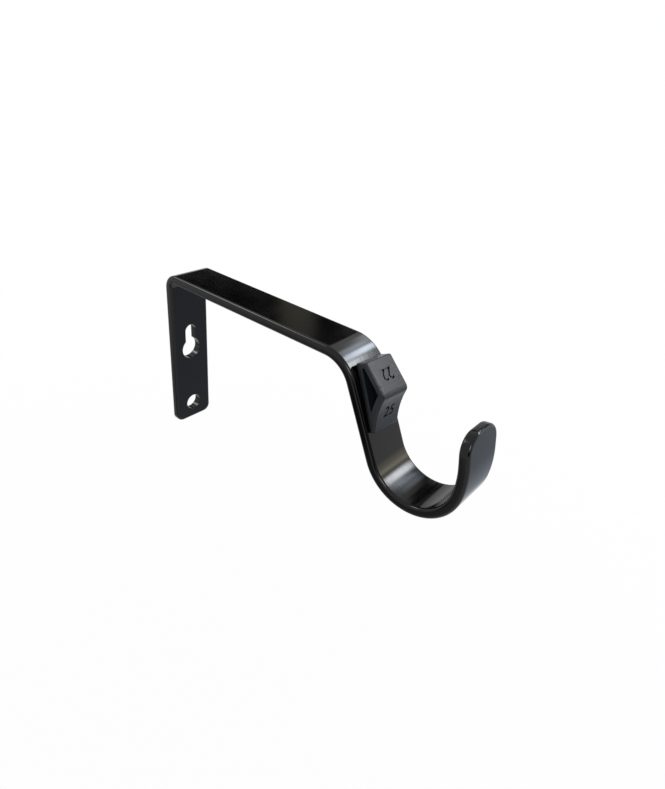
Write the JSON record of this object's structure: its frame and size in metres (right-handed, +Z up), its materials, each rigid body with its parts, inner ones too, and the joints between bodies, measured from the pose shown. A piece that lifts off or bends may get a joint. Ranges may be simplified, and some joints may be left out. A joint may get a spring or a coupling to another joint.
{
  "type": "curtain pole bracket",
  "caption": "Black wall bracket for a curtain pole: a flat bar bent into a screw plate, a level arm and an open hook, with a moulded wedge that steadies the pole.",
  "frame": {"origin": "on the wall, at the middle of the bar's width, in the solid land between the keyhole and the lower screw hole", "axes": "+Z up, +X out of the wall along the arm towards the hook, Y across the bar and along the pole"},
  "size_m": [0.1275, 0.0162, 0.063],
  "materials": {
    "bar_coat": "semi-gloss black powder coat",
    "adaptor_plastic": "fine matt moulded surface"
  },
  "bodies": {
    "root": {"bracket_bar": "bar_coat", "pole_adaptor": "adaptor_plastic"}
  },
  "joints": []
}
